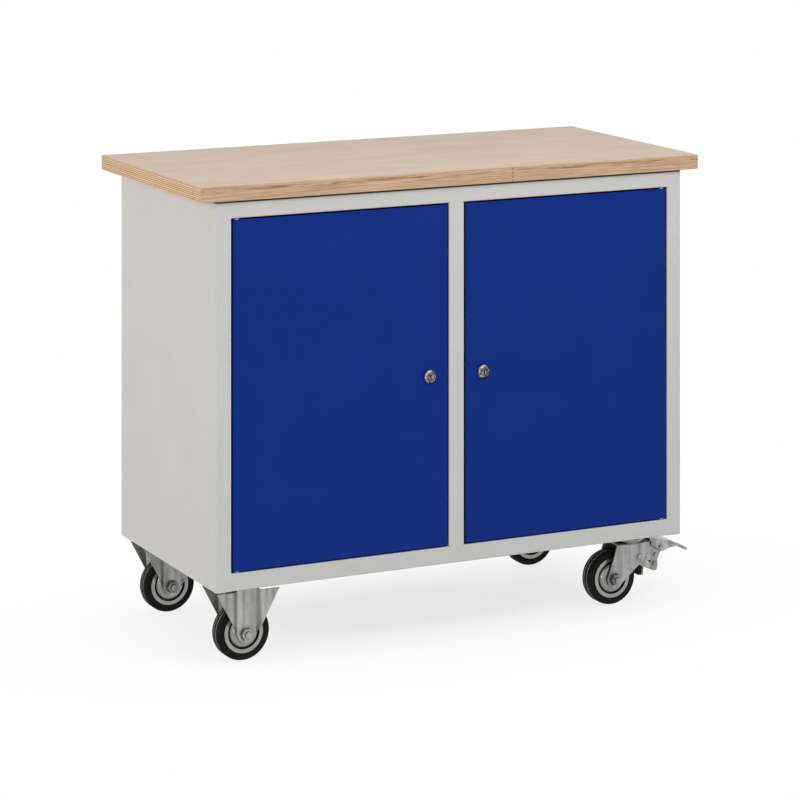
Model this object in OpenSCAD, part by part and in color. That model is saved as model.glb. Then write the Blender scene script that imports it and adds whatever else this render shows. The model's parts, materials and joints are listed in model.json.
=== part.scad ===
// Mobile tool cabinet: a welded sheet-steel body with two locking doors under a multiplex
// worktop, on two fixed casters (left) and two braked swivel casters (right).
// Millimetres, +Z up, the doors face -Y. The origin is on the floor, under the middle of the
// whole outline, which reaches from the worktop's left edge to the tips of the brake pedals.

/* [Worktop] */
// Width of the worktop
top_w = 1000; // [900:5:1300]
// Depth of the worktop
top_d = 480; // [440:5:600]
// Thickness of the worktop
top_t = 27; // [20:1:40]
// Broken edge of the worktop
top_chamfer = 1; // [0.5:0.5:3]
// Height of the worktop's surface above the floor
total_h = 845; // [780:5:950]
// Worktop past the body at each side
side_overhang = 32; // [20:1:50]
// Worktop past the doors
front_overhang = 9; // [8:1:30]
// Worktop past the back of the body
back_overhang = 17; // [5:1:40]

/* [Cabinet body] */
// Floor to the underside of the body
caster_h = 140; // [136:1:160]
// Sheet steel of the body
sheet = 1.2; // [0.8:0.1:1.5]
// Outer radius of the body's bends
bend_r = 3; // [2.5:0.5:5]
// Front face of each side panel beside its door
stile_w = 29.5; // [26:0.5:45]
// Front face of the post between the doors
post_w = 31; // [24:1:45]
// Front face above the doors
rail_top_h = 31.5; // [26:0.5:45]
// Front face below the doors
rail_bottom_h = 31; // [26:1:45]
// Frame's return behind the door's stop lip
jamb_margin = 0.6; // [0.4:0.1:3]
// Inward flanges that carry the worktop
flange_w = 20; // [16:1:24]
// Lip of the centre post that a closed door rests against
stop_lip = 12; // [10:1:14]
// Sheet of the two channels under the floor that the casters are bolted to
channel_t = 2; // [1.5:0.5:3]
// Width of those channels
channel_w = 104; // [101:1:112]

/* [Doors] */
// Gap around each door
door_gap = 2.5; // [2.3:0.1:3]
// Depth of the folded door
door_d = 20; // [18:1:24]
// Sheet steel of the doors
door_sheet = 1; // [0.8:0.1:1.5]
// Outer radius of the door's bends
door_bend_r = 2; // [1.8:0.1:3]
// Inner lip all round the back of a door
door_lip = 12; // [10:1:16]
// Gap between a closed door and the stop lip behind it
stop_gap = 2.2; // [1.6:0.1:3]
// Width of the hat channel that stiffens a door
stiffener_w = 60; // [40:1:90]
// Depth of the stiffener
stiffener_d = 12; // [8:1:14]
// Glued lips of the stiffener
stiffener_lip = 14; // [8:1:20]

/* [Door hinges] */
// Radius of a hinge pin
pin_r = 3; // [2.5:0.1:3.4]
// Hinge pin's reach into the door
pin_reach = 10; // [8:1:14]
// Pin axis from the door's hinged edge
pin_inset = 8; // [7.8:0.1:14]
// Pin axis behind the door's face
pin_setback = 7; // [6.5:0.1:7.4]
// Radius of the collar that the pin stands on
collar_r = 5.5; // [4:0.5:6]
// Thickness of that collar
collar_t = 0.5; // [0.4:0.1:1]
// Outer radius of the plastic bush in the door
bush_r = 4.5; // [4:0.1:5]
// Radius of the bush's flange
bush_flange_r = 6; // [5.5:0.1:6.5]
// Bush's depth in the door
bush_l = 8; // [5:1:12]

/* [Locks] */
// Lock axis from the door's closing edge
lock_inset = 36; // [32:1:44]
// Lock above the middle of the doorway
lock_rise = 0; // [-60:1:60]
// Radius of the lock's front rosette
rosette_r = 12; // [11:0.5:14]
// How far the rosette stands out of the door
rosette_h = 6; // [4:0.5:7]
// Radius of the lock's barrel
barrel_r = 9; // [8.5:0.5:10]
// Radius of the turning plug
plug_r = 6.5; // [5:0.5:7]
// Width of the keyway
keyway_w = 1.8; // [1:0.1:2.5]
// Height of the keyway
keyway_h = 8; // [6:0.5:9]
// Depth of the keyway
keyway_d = 12; // [6:1:16]
// Across the flats of the barrel's nut
lock_nut_af = 24; // [22:1:27]
// Thickness of that nut
lock_nut_t = 4; // [3:0.5:6]
// Cam's reach from the lock's axis
cam_l = 34; // [32:1:38]
// Width of the cam
cam_w = 12; // [10:1:16]
// Thickness of the cam
cam_t = 2.5; // [2:0.5:4]

/* [Shelves] */
// Sheet steel of a shelf
shelf_sheet = 1; // [0.8:0.1:1.5]
// Folded front and back edge of a shelf
shelf_edge = 25; // [18:1:35]
// Return of that edge
shelf_return = 12; // [8:1:18]
// Shelf's front edge behind the frame
shelf_setback = 18; // [14:1:60]
// Pitch of the slots that the shelf clips hook into
slot_pitch = 50; // [40:1:60]
// Slot that the clips hang in, counted from the floor
shelf_slot = 5; // [3:1:8]
// Depth of the slotted uprights on the side panels
upright_d = 8; // [6:1:12]
// Width of an upright
upright_w = 24; // [20:1:34]
// Uprights from the front and the back of the compartment
upright_inset = 75; // [55:1:120]
// Length of a clip's tongue under the shelf
clip_l = 14; // [10:1:20]

/* [Wheels] */
// Radius of a wheel
wheel_r = 50; // [48:0.5:52]
// Width of the rubber tyre
tyre_w = 28; // [24:1:30]
// Radius of the tyre's shoulders
shoulder_r = 5; // [2:0.5:6]
// Distance between the two grooves of the tread
tread_pitch = 10; // [8:0.5:12]
// Width of a tread groove
tread_groove_w = 2; // [1:0.2:2.4]
// Depth of a tread groove
tread_groove_d = 1; // [0.5:0.1:1.5]
// Radius of the rim under the tyre
rim_r = 36.6; // [34:0.2:40]
// Width of the rim's polished ring
ring_w = 6.6; // [4:0.2:7]
// Groove between that ring and the dished disc
groove_w = 2.3; // [1.5:0.1:3]
// Radius of the hub's tube
hub_r = 9; // [8:0.5:10]
// Radius of the bearing caps
cap_r = 11.5; // [10.5:0.5:14]
// Length of the hub
hub_l = 45.4; // [42:0.2:46]
// Radius of an axle bolt
axle_r = 6; // [5:0.5:7]
// Across the flats of the axle's head and nut
axle_af = 19; // [16:1:22]

/* [Casters] */
// Length of a mounting plate
plate_l = 100; // [96:1:104]
// Width of a mounting plate
plate_w = 76; // [72:1:77]
// Thickness of a mounting plate
plate_t = 3.5; // [3:0.5:4]
// Bolt holes apart along the plate
bolt_dx = 80; // [76:1:84]
// Bolt holes apart across the plate
bolt_dy = 52; // [48:1:54]
// Radius of a mounting bolt
bolt_r = 4; // [3:0.5:4]
// Fixed casters from the body's left side
fixed_inset = 76; // [60:1:110]
// Front fixed caster behind the body's front
fixed_front = 69; // [62:1:120]
// Rear fixed caster before the body's back
fixed_rear = 39; // [39:1:90]
// Kingpins from the body's right side
swivel_inset = 58; // [57:1:90]
// Front kingpin behind the body's front
swivel_front = 97; // [80:1:130]
// Rear kingpin before the body's back
swivel_rear = 43; // [39:1:80]
// Steel of the forks
fork_t = 3; // [2.5:0.5:3.5]
// Room on each side of a hub in its fork
hub_play = 0.3; // [0.2:0.05:0.5]
// Radius of a fork leg round its axle
boss_r = 16; // [14:0.5:18]
// Width of a fixed leg's middle strap
strap_w = 38; // [34:1:42]
// How far the wings stand out from the strap
wing_out = 9; // [6:0.5:10]
// Half width of a fixed leg at the wings' top
wing_half = 59; // [52:1:62]
// Wings' top edge below the mounting plate
wing_drop = 9.5; // [6:0.5:14]

/* [Swivel and brake] */
// Kingpin to axle
trail = 41; // [36:1:44]
// Crown of the swivel fork above the axle
crown_rise = 64; // [60:1:66]
// Radius of the dish that holds the ball race
dish_r = 33; // [30:0.5:34]
// Height of the dish above the crown
dish_h = 7; // [5:0.5:8]
// Radius of the kingpin
kingpin_r = 6; // [5:0.5:8]
// Steel of the brake's side plates
brake_t = 2.5; // [2:0.5:3]
// Radius of the brake's rivets
rivet_r = 2.5; // [2:0.1:2.7]
// Radius of the rivet that holds the brake in the fork
fork_rivet_r = 3.3; // [2.5:0.1:3.5]
// Steel of the pedal
pedal_t = 4; // [2.5:0.5:4]
// Thickness of the pedal's rolled end
pedal_bead = 5.2; // [4.8:0.1:6]
// Outer radius of the pedal's curve
pedal_r = 160; // [150:5:170]
// Pedal's end from the kingpin
pedal_reach = 115; // [100:0.5:125]
// How far the pedal turns until the brake is on
pedal_angle = 16; // [10:1:18]

/* [Hidden] */
$fn = 48;
// Running clearance of a pin in its bore
run = 0.05;
// Clearance between flat faces that move past each other
slip = 0.3;
// Clearance round fixed bolts
bolt_play = 0.5;

// Body outline: side, front, back, underside, top
body_x = top_w / 2 - side_overhang;
body_front = front_overhang - top_d / 2;
body_back = top_d / 2 - back_overhang;
body_z0 = caster_h;
body_z1 = total_h - top_t;
inner_x = body_x - sheet;

// Doorways: inner and outer jamb, sill and head
door_x0 = post_w / 2;
door_x1 = body_x - stile_w;
door_z0 = body_z0 + rail_bottom_h;
door_z1 = body_z1 - rail_top_h;
jamb_d = door_d + stop_gap + sheet + jamb_margin;
frame_back = body_front + jamb_d;

// Back panel and floor
back_outer = body_back - sheet;
back_inner = back_outer - sheet;
// The bends' inner fillets are kept clear by what stands in the corners
fillet = bend_r - sheet;
floor_back = min(back_inner, back_outer - fillet);
floor_under = door_z0 - sheet;
floor_edge = 18;
flange_gap = 1;

// Door leaf, written for the right-hand door
leaf_x0 = door_x0 + door_gap;
leaf_x1 = door_x1 - door_gap;
leaf_z0 = door_z0 + door_gap;
leaf_z1 = door_z1 - door_gap;
leaf_back = body_front + door_d;
stop_face = leaf_back + stop_gap;
hinge_x = leaf_x1 - pin_inset;
hinge_y = body_front + pin_setback;

// Lock: depths are measured from the door's face
lock_x = leaf_x0 + lock_inset;
lock_z = (door_z0 + door_z1) / 2 + lock_rise;
cam_gap = 0.6;
cam_depth = door_d + stop_gap + sheet + cam_gap;
plug_sink = 0.5;
cam_screw_r = 2;

// Shelves
slot_first = 50;
slot_h = 4;
slot_w = 10;
slot_count = floor((body_z1 - door_z0 - slot_first - flange_w) / slot_pitch);
shelf_z = door_z0 + slot_first + (shelf_slot - 1) * slot_pitch + slot_h;
shelf_gap = 1.5;
shelf_y0 = frame_back + shelf_setback;
shelf_y1 = back_inner - 2;
upright_y = [frame_back + upright_inset, back_inner - upright_inset];
upright_x = inner_x - upright_d;
clip_t = 1.5;
clip_w = 12;
clip_h = 16;

// Worktop screws
screw_r = 2.5;
screw_head_r = 4.5;
screw_head_h = 2.5;
screw_l = 16;

// Casters, in plan
fixed_x = fixed_inset - body_x;
fixed_y = [body_front + fixed_front, body_back - fixed_rear];
swivel_x = body_x - swivel_inset;
swivel_y = [body_front + swivel_front, body_back - swivel_rear];
swivel_wheel_x = swivel_x - trail;
plate_z = caster_h - plate_t;
leg_top = plate_z + plate_t / 2;
fork_y0 = hub_l / 2 + hub_play;
fork_y1 = fork_y0 + fork_t;
axle_head_h = 7;
axle_nut_h = 9;
axle_end = 3;

// Swivel caster, in its own frame: kingpin on the Z axis, wheel behind it towards -X
crown_z = wheel_r + crown_rise;
crown_x0 = -trail + 6.5;
crown_x1 = 34;
race_z = crown_z + 2.5;
kingpin_head_r = 10;
kingpin_head_h = 3.5;
kingpin_top_h = 1.8;
brake_y1 = fork_y0;
brake_y0 = brake_y1 - brake_t;
pedal_y0 = brake_y1 + slip;
pedal_y1 = pedal_y0 + brake_t;
head_h = 2;
head_share = 1.4;
fork_rivet = [11, 36.5];
guide_rivet = [28.5, 36.5];
frame_rivets = [[47.5, 36], [45, 20]];
pedal_pivot = [57, 50];
pivot_boss_r = 7;
pedal_axis = [26, 68 - pedal_r];
pedal_mid_r = pedal_r - pedal_t / 2;
cheek_low = [[90, 47.5], [74, 45.8], [62, 41]];
pedal_a0 = acos((pedal_reach - pedal_bead / 2 - pedal_axis.x) / pedal_mid_r);
pedal_a1 = 87;
function pedal_at(a) = pedal_axis + pedal_mid_r * [cos(a), sin(a)];
nose_w = 12;
nose_r = 3.5;
nose_gap = 0.5;
shoe_back = 29;
shoe_t = 4;
shoe_w = 24;
shoe_bend = 18;
shoe_foot = [22.5, -2];
nose = [shoe_back + nose_gap + nose_r, 23];
nose_arm = pedal_pivot - nose;
shoe_travel = nose_arm.x * (cos(pedal_angle) - 1) + nose_arm.y * sin(pedal_angle);
shoe_end = 0.2;
pad_w = 26;
pad_x0 = 14;
pad_x1 = 19;
pedal_tip = swivel_x + pedal_reach;

// The outline's middle lies right of the worktop's middle, because the pedals stand out
outline_shift = max(0, pedal_tip - top_w / 2) / 2;

// Colours
wood = [0.80, 0.68, 0.54];
grey = [0.74, 0.75, 0.74];
blue = [0.08, 0.16, 0.50];
zinc = [0.68, 0.69, 0.70];
chrome = [0.80, 0.80, 0.80];
black = [0.06, 0.06, 0.06];
white = [0.92, 0.92, 0.90];

// ---------------------------------------------------------------- folded sheet sections

function heading(v) = atan2(v.y, v.x);
function wrap(a) = a > 180 ? a - 360 : a < -180 ? a + 360 : a;
function left_of(v) = [-v.y, v.x] / norm(v);
function turn_at(p, i) =
    i <= 0 || i >= len(p) - 1 ? 0 : wrap(heading(p[i + 1] - p[i]) - heading(p[i] - p[i - 1]));
function path_r(turn, r, t) = turn > 0 ? r : r - t;
function trim_at(p, i, r, t) = path_r(turn_at(p, i), r, t) * tan(abs(turn_at(p, i)) / 2);

module ring_sector(r0, r1, a0, a1) {
    reach = 2 * r1;
    intersection() {
        difference() {
            circle(r1);
            circle(r0);
        }
        polygon([[0, 0], reach * [cos(a0), sin(a0)], reach * [cos(a1), sin(a1)]]);
    }
}

// A strip of thickness t on the left of the path p, each corner bent to the outer radius r
module folded(p, t, r) {
    for (i = [0 : len(p) - 2]) {
        step = p[i + 1] - p[i];
        start = trim_at(p, i, r, t);
        translate(p[i] + step / norm(step) * start)
            rotate(heading(step))
                square([norm(step) - start - trim_at(p, i + 1, r, t), t]);
    }
    for (i = [1 : len(p) - 2]) {
        step = p[i] - p[i - 1];
        turn = turn_at(p, i);
        ri = path_r(turn, r, t);
        side = sign(turn);
        a0 = heading(step) - side * 90;
        translate(p[i] - step / norm(step) * trim_at(p, i, r, t) + left_of(step) * side * ri)
            if (side > 0)
                ring_sector(r - t, r, a0, a0 + turn);
            else
                ring_sector(ri, r, a0 + turn, a0);
    }
}

// Extrusions of a section drawn in the YZ or the XZ plane
module along_x(x0, x1) {
    translate([x0, 0, 0]) rotate([90, 0, 90]) linear_extrude(x1 - x0) children();
}

module along_y(y0, y1) {
    translate([0, y1, 0]) rotate([90, 0, 0]) linear_extrude(y1 - y0) children();
}

// Round bar along Y
module bar_y(r, y0, y1) {
    translate([0, y0, 0]) rotate([-90, 0, 0]) cylinder(r = r, h = y1 - y0);
}

// Hexagon of a bolt head or nut, flat faces af apart, along Z
module hexagon(af, h) {
    cylinder(r = af / 2 / cos(30), h = h, $fn = 6);
}

module both_sides() {
    children();
    mirror([1, 0, 0]) children();
}

module place() {
    translate([-outline_shift, 0, 0]) children();
}

// ---------------------------------------------------------------- worktop

screw_places = concat(
    [for (x = [-1, 1], y = [-1, 1]) [x * (body_x - flange_w / 2), y * top_d / 4]],
    [for (x = [-1, 1]) [x * top_w / 4, frame_back - flange_w / 2]],
    [for (x = [-1, 1]) [x * top_w / 4, back_outer - flange_w / 2]]);

module screw_holes(z0, z1) {
    for (p = screw_places)
        translate([p.x, p.y, z0]) cylinder(r = screw_r + run, h = z1 - z0);
}

module board_section(w) {
    c = top_chamfer;
    polygon([
        [-w / 2, body_z1 + c], [-w / 2 + c, body_z1], [w / 2 - c, body_z1], [w / 2, body_z1 + c],
        [w / 2, total_h - c], [w / 2 - c, total_h], [-w / 2 + c, total_h], [-w / 2, total_h - c]
    ]);
}

module worktop() {
    color(wood) difference() {
        intersection() {
            along_x(-top_w / 2, top_w / 2) board_section(top_d);
            along_y(-top_d / 2, top_d / 2) board_section(top_w);
        }
        screw_holes(body_z1 - 1, body_z1 - sheet + screw_l);
    }
}

module worktop_screws() {
    color(zinc) for (p = screw_places)
        translate([p.x, p.y, body_z1 - sheet]) {
            translate([0, 0, -screw_head_h]) cylinder(r = screw_head_r, h = screw_head_h);
            cylinder(r = screw_r, h = screw_l - slip);
        }
}

// ---------------------------------------------------------------- body

// Right-hand side panel: stile and jamb in front, flange behind, flange under the worktop.
// Beside the rails the stile has no jamb, so that stile and rail meet flush.
module side_panel() {
    flat = [
        [door_x1, body_front], [body_x, body_front],
        [body_x, body_back], [body_x - flange_w, body_back]
    ];
    levels = [body_z0, door_z0, door_z1, body_z1];
    color(grey) difference() {
        union() {
            for (i = [0 : 2])
                translate([0, 0, levels[i]]) linear_extrude(levels[i + 1] - levels[i])
                    folded(i == 1 ? concat([[door_x1, frame_back]], flat) : flat, sheet, bend_r);
            translate([body_x - flange_w, frame_back + flange_gap, body_z1 - sheet])
                cube([flange_w - sheet, back_outer - flange_w - frame_back - 2 * flange_gap, sheet]);
        }
        screw_holes(body_z1 - 2 * sheet, body_z1 + 1);
    }
}

module back_panel() {
    color(grey) difference() {
        along_x(fillet - inner_x, inner_x - fillet)
            folded([[back_outer, body_z0], [back_outer, body_z1], [back_outer - flange_w, body_z1]],
                   sheet, bend_r);
        screw_holes(body_z1 - 2 * sheet, body_z1 + 1);
    }
}

module base_pan() {
    color(grey) along_x(-inner_x, inner_x)
        folded([
            [floor_back, door_z0 - floor_edge], [floor_back, door_z0],
            [frame_back, door_z0], [frame_back, door_z0 - floor_edge]
        ], sheet, bend_r);
}

module top_rail() {
    color(grey) difference() {
        along_x(-door_x1, door_x1)
            folded([
                [frame_back, body_z1], [body_front, body_z1], [body_front, door_z1],
                [frame_back, door_z1]
            ], sheet, bend_r);
        screw_holes(body_z1 - 2 * sheet, body_z1 + 1);
    }
}

module bottom_rail() {
    color(grey) along_x(-door_x1, door_x1)
        folded([
            [frame_back, door_z0], [body_front, door_z0], [body_front, body_z0],
            [frame_back, body_z0]
        ], sheet, bend_r);
}

// Weld that fills the rounded edge of a rail, ground flush with its front
module weld_fill() {
    part = 0.9 * bend_r;
    half = door_x0 - bend_r;
    along_x(-half, half) translate([body_front, 0]) difference() {
        square(part);
        translate([bend_r, bend_r]) circle(bend_r);
    }
}

module centre_post() {
    color(grey) {
        translate([0, 0, door_z0]) linear_extrude(door_z1 - door_z0)
            folded([
                [-door_x0 - stop_lip, stop_face], [-door_x0, stop_face], [-door_x0, body_front],
                [door_x0, body_front], [door_x0, stop_face], [door_x0 + stop_lip, stop_face]
            ], sheet, bend_r);
        translate([0, 0, door_z1]) weld_fill();
        translate([0, 0, door_z0]) mirror([0, 0, 1]) weld_fill();
    }
}

// Slots for the shelf clips, cut through whatever lies at x0..x1
module clip_slots(x0, x1) {
    for (y = upright_y, i = [0 : slot_count - 1])
        translate([x0, y - slot_w / 2, door_z0 + slot_first + i * slot_pitch])
            cube([x1 - x0, slot_w, slot_h]);
}

module centre_partition() {
    color(grey) difference() {
        union() {
            translate([-sheet / 2, frame_back, door_z0])
                cube([sheet, back_inner - frame_back, body_z1 - bend_r - door_z0]);
            translate([-sheet / 2, body_front + sheet, door_z0])
                cube([sheet, jamb_d - sheet, door_z1 - door_z0]);
        }
        clip_slots(-sheet, sheet);
    }
}

module shelf_uprights() {
    color(grey) both_sides() difference() {
        for (y = upright_y)
            translate([0, 0, door_z0]) linear_extrude(body_z1 - flange_w - door_z0)
                folded([
                    [inner_x, y - upright_w / 2 - upright_d], [inner_x, y - upright_w / 2],
                    [upright_x, y - upright_w / 2], [upright_x, y + upright_w / 2],
                    [inner_x, y + upright_w / 2], [inner_x, y + upright_w / 2 + upright_d]
                ], sheet, bend_r);
        clip_slots(upright_x - sheet - 1, upright_x + 1);
    }
}

// One clip: its back plate stands on the face x = 0 and its tongue points towards +X
module clip() {
    hook = sheet / 2 - run;
    translate([0, -clip_w / 2, -clip_h]) cube([clip_t, clip_w, clip_h]);
    translate([0, -clip_w / 2, -clip_t]) cube([clip_l, clip_w, clip_t]);
    translate([-hook, slip - slot_w / 2, slip - slot_h])
        cube([hook, slot_w - 2 * slip, slot_h - 2 * slip]);
}

module shelf_clips() {
    color(zinc) both_sides() for (y = upright_y) {
        translate([sheet / 2, y, shelf_z]) clip();
        translate([upright_x - sheet, y, shelf_z]) mirror([1, 0, 0]) clip();
    }
}

module shelf() {
    top = shelf_z + shelf_sheet;
    low = top - shelf_edge;
    color(grey) along_x(sheet / 2 + shelf_gap, upright_x - sheet - shelf_gap)
        folded([
            [shelf_y1 - shelf_return, low], [shelf_y1, low], [shelf_y1, top],
            [shelf_y0, top], [shelf_y0, low], [shelf_y0 + shelf_return, low]
        ], shelf_sheet, door_bend_r);
}

// Channel under the floor with the bolt holes of the casters at the given places
module caster_channel(x, places) {
    color(grey) difference() {
        along_y(frame_back + bend_r, floor_back - bend_r)
            folded([
                [x - channel_w / 2, floor_under], [x - channel_w / 2, body_z0],
                [x + channel_w / 2, body_z0], [x + channel_w / 2, floor_under]
            ], channel_t, bend_r);
        for (y = places)
            translate([x, y, body_z0 - 1]) bolt_holes(channel_t + 2);
    }
}

// ---------------------------------------------------------------- doors, right-hand one drawn

module door_pan() {
    w = leaf_x1 - leaf_x0;
    color(blue) difference() {
        union() {
            translate([0, 0, leaf_z0]) linear_extrude(leaf_z1 - leaf_z0)
                folded([
                    [leaf_x0 + door_lip, leaf_back], [leaf_x0, leaf_back], [leaf_x0, body_front],
                    [leaf_x1, body_front], [leaf_x1, leaf_back], [leaf_x1 - door_lip, leaf_back]
                ], door_sheet, door_bend_r);
            for (z = [leaf_z0, leaf_z1 - door_sheet])
                translate([leaf_x0 + door_sheet, body_front + door_sheet, z])
                    cube([w - 2 * door_sheet, door_d - door_sheet, door_sheet]);
            for (z = [leaf_z0, leaf_z1 - door_lip])
                translate([leaf_x0 + door_lip, leaf_back - door_sheet, z])
                    cube([w - 2 * door_lip, door_sheet, door_lip]);
        }
        translate([hinge_x, hinge_y, leaf_z0 - 1])
            cylinder(r = bush_r + run, h = leaf_z1 - leaf_z0 + 2);
        translate([lock_x, 0, lock_z])
            bar_y(barrel_r + run, body_front - 1, body_front + door_sheet + 1);
    }
}

module door_stiffener() {
    x = (leaf_x0 + leaf_x1) / 2;
    y0 = body_front + door_sheet;
    y1 = y0 + stiffener_d;
    half = stiffener_w / 2;
    color(blue) translate([0, 0, leaf_z0 + door_sheet])
        linear_extrude(leaf_z1 - leaf_z0 - 2 * door_sheet)
            folded([
                [x - half - stiffener_lip, y0], [x - half, y0], [x - half, y1],
                [x + half, y1], [x + half, y0], [x + half + stiffener_lip, y0]
            ], door_sheet, door_bend_r);
}

// The lower hinge stands on the sill, the upper one is its mirror image under the head
module at_both_hinges() {
    translate([hinge_x, hinge_y, door_z0]) children();
    translate([hinge_x, hinge_y, door_z1]) mirror([0, 0, 1]) children();
}

module hinge_pins() {
    color(zinc) both_sides() at_both_hinges() {
        cylinder(r = collar_r, h = collar_t);
        cylinder(r = pin_r, h = door_gap + pin_reach);
    }
}

module hinge_bushes() {
    color(white) at_both_hinges() difference() {
        union() {
            translate([0, 0, collar_t + slip])
                cylinder(r = bush_flange_r, h = door_gap - collar_t - slip);
            translate([0, 0, collar_t + slip])
                cylinder(r = bush_r, h = door_gap - collar_t - slip + bush_l);
        }
        cylinder(r = pin_r + run, h = door_gap + pin_reach + bush_l);
    }
}

// ---------------------------------------------------------------- locks, drawn along their axis

module at_lock() {
    translate([lock_x, body_front, lock_z]) rotate([-90, 0, 0]) children();
}

module lock_body() {
    bevel = rosette_h / 2;
    color(chrome) at_lock() {
        rotate_extrude() polygon([
            [plug_r + run, -rosette_h], [rosette_r - bevel, -rosette_h],
            [rosette_r, -rosette_h + bevel], [rosette_r, 0], [barrel_r, 0],
            [barrel_r, cam_depth - slip], [plug_r + run, cam_depth - slip]
        ]);
        translate([0, 0, door_sheet]) difference() {
            hexagon(lock_nut_af, lock_nut_t);
            translate([0, 0, -1]) cylinder(r = barrel_r + run, h = lock_nut_t + 2);
        }
    }
}

module lock_plug() {
    front = plug_sink - rosette_h;
    grip = 7;
    color(chrome) at_lock() {
        difference() {
            translate([0, 0, front]) cylinder(r = plug_r, h = cam_depth - front);
            translate([-keyway_w / 2, -keyway_h / 2, front - 1])
                cube([keyway_w, keyway_h, keyway_d + 1]);
            translate([0, 0, cam_depth - grip - 1])
                cylinder(r = cam_screw_r + run, h = grip + 2);
        }
        translate([0, 0, cam_depth - grip])
            cylinder(r = cam_screw_r, h = grip + cam_t);
        translate([0, 0, cam_depth + cam_t])
            cylinder(r = 2 * cam_screw_r, h = cam_screw_r);
    }
}

// The cam hangs straight down while the door is unlocked
module lock_cam() {
    color(zinc) at_lock() translate([0, 0, cam_depth]) linear_extrude(cam_t) difference() {
        union() {
            circle(plug_r + 1.5);
            translate([-cam_w / 2, 0]) square([cam_w, cam_l - cam_w / 2]);
            translate([0, cam_l - cam_w / 2]) circle(cam_w / 2);
        }
        circle(cam_screw_r + run);
    }
}

// ---------------------------------------------------------------- wheels, axle on the Y axis

module at_axle(x, y) {
    translate([x, y, wheel_r]) children();
}

module revolved() {
    rotate([-90, 0, 0]) rotate_extrude($fn = 96) children();
}

module tyre(x, y) {
    half = tyre_w / 2;
    color(black) at_axle(x, y) revolved() difference() {
        union() {
            translate([rim_r, -half]) square([wheel_r - shoulder_r - rim_r, tyre_w]);
            translate([rim_r, shoulder_r - half])
                square([wheel_r - rim_r, tyre_w - 2 * shoulder_r]);
            for (s = [-1, 1])
                translate([wheel_r - shoulder_r, s * (half - shoulder_r)]) circle(shoulder_r);
        }
        for (s = [-1, 1])
            translate([wheel_r - tread_groove_d, (s * tread_pitch - tread_groove_w) / 2])
                square([2 * tread_groove_d, tread_groove_w]);
    }
}

// Half section of the rim from hub to tyre: dished disc, groove, ring
function dish(n) = [for (i = [0 : n])
    [cap_r + 1 + (disc_r - cap_r - 1) * sin(90 * i / n), disc_h + (hub_face - disc_h) * cos(90 * i / n)]];
ring_h = tyre_w / 2 + slip;
disc_r = rim_r - ring_w - groove_w;
disc_h = ring_h - 5;
groove_h = ring_h - 7;
hub_face = hub_l / 2 - 2.7;
rim_half = concat(
    [[hub_r, hub_face]], dish(8),
    [[disc_r, groove_h], [disc_r + groove_w, groove_h], [disc_r + groove_w, ring_h], [rim_r, ring_h]]);

module rim(x, y) {
    flipped = [for (i = [len(rim_half) - 1 : -1 : 0]) [rim_half[i].x, -rim_half[i].y]];
    color(zinc) at_axle(x, y) revolved() polygon(concat(rim_half, flipped));
}

module hub(x, y) {
    end = hub_l / 2;
    bore = axle_r + run;
    color(zinc) at_axle(x, y) revolved() polygon([
        [bore, -end], [cap_r, -end], [cap_r, -hub_face], [hub_r, -hub_face],
        [hub_r, hub_face], [cap_r, hub_face], [cap_r, end], [bore, end]
    ]);
}

// Bolt with its head at the back and its nut in front
module axle_bolt(x, y) {
    color(zinc) at_axle(x, y) {
        bar_y(axle_r, -fork_y1 - axle_nut_h - axle_end, fork_y1);
        translate([0, fork_y1, 0]) rotate([-90, 0, 0]) hexagon(axle_af, axle_head_h);
        translate([0, -fork_y1, 0]) rotate([90, 0, 0]) difference() {
            hexagon(axle_af, axle_nut_h);
            translate([0, 0, -1]) cylinder(r = axle_r + run, h = axle_nut_h + 2);
        }
    }
}

// ---------------------------------------------------------------- casters

module at_bolts() {
    for (x = [-1, 1], y = [-1, 1])
        translate([x * bolt_dx / 2, y * bolt_dy / 2, 0]) children();
}

module bolt_holes(h) {
    at_bolts() cylinder(r = bolt_r + bolt_play, h = h);
}

module mounting_plate() {
    difference() {
        translate([-plate_l / 2, -plate_w / 2, plate_z]) cube([plate_l, plate_w, plate_t]);
        translate([0, 0, plate_z - 1]) bolt_holes(plate_t + 2);
    }
}

module caster_bolts() {
    head = 1.3 * bolt_r;
    grip = plate_t + channel_t;
    af = 3.25 * bolt_r;
    nut = 1.6 * bolt_r;
    places = concat([for (y = fixed_y) [fixed_x, y]], [for (y = swivel_y) [swivel_x, y]]);
    color(zinc) for (p = places)
        translate([p.x, p.y, plate_z]) at_bolts() {
            translate([0, 0, -head]) hexagon(af, head);
            cylinder(r = bolt_r, h = grip + nut + bolt_r / 2);
            translate([0, 0, grip]) difference() {
                hexagon(af, nut);
                translate([0, 0, -1]) cylinder(r = bolt_r + run, h = nut + 2);
            }
        }
}

// Where a straight edge from the point p meets the circle of radius r round c
function touch(p, c, r, side) =
    let (v = p - c, a = heading(v) + side * acos(r / norm(v))) c + r * [cos(a), sin(a)];

// Leg of the fixed fork, seen from the front: boss, flared wings, strap up to the plate
module fixed_leg_outline() {
    axle = [0, wheel_r];
    corner = [wing_half, plate_z - wing_drop];
    far = [-wing_half, plate_z - wing_drop];
    translate(axle) circle(boss_r);
    polygon([touch(far, axle, boss_r, 1), touch(corner, axle, boss_r, -1), corner, far]);
    translate([-strap_w / 2, wheel_r]) square([strap_w, leg_top - wheel_r]);
}

// Plan section of that leg: the strap lies against the hub, the wings clear the tyre
module fixed_leg_section() {
    wing_y = fork_y0 + wing_out;
    half = strap_w / 2;
    folded([
        [-wing_half - fork_t, wing_y], [-half - wing_out, wing_y], [-half, fork_y0],
        [half, fork_y0], [half + wing_out, wing_y], [wing_half + fork_t, wing_y]
    ], fork_t, 2 * fork_t);
}

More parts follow.
